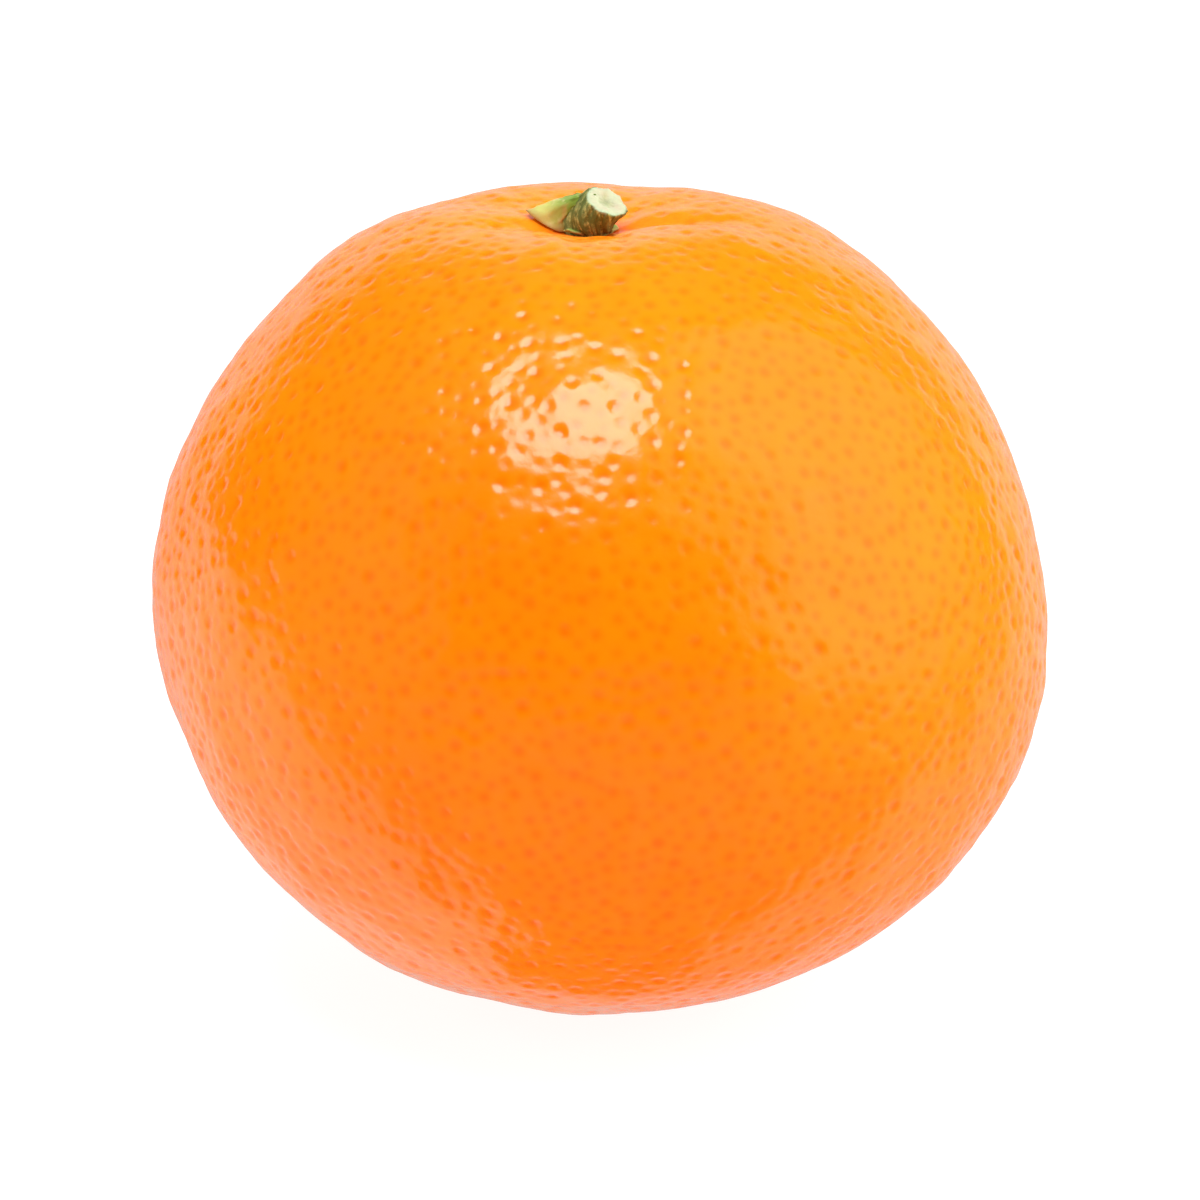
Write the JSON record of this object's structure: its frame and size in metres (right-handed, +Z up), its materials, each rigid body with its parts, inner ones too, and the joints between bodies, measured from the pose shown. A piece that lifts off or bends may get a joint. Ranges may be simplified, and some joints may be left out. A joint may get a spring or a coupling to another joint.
{
  "type": "mandarin",
  "caption": "Whole mandarin: an oblate citrus fruit with a dimpled crown, a small star calyx and a short leaning stalk stub, resting on a small flat spot.",
  "frame": {"origin": "middle of the small flat spot underneath, on which the fruit rests", "axes": "+Z up through the crown and the calyx; +X to the right and -Y to the front when the fruit is seen from the side to which its stalk stub leans"},
  "size_m": [0.0699, 0.0699, 0.0638],
  "materials": {
    "peel": "satin waxy citrus peel, saturated orange, dimpled all over with oil glands that show as slightly darker dots",
    "sepal": "dry matt plant tissue, yellow-green with pale rims and brown edges",
    "stalk": "rough green to brown bark, with a pale cream-green cut face"
  },
  "bodies": {
    "root": {"fruit": "peel", "calyx": "sepal", "stem_stub": "stalk"}
  },
  "joints": []
}
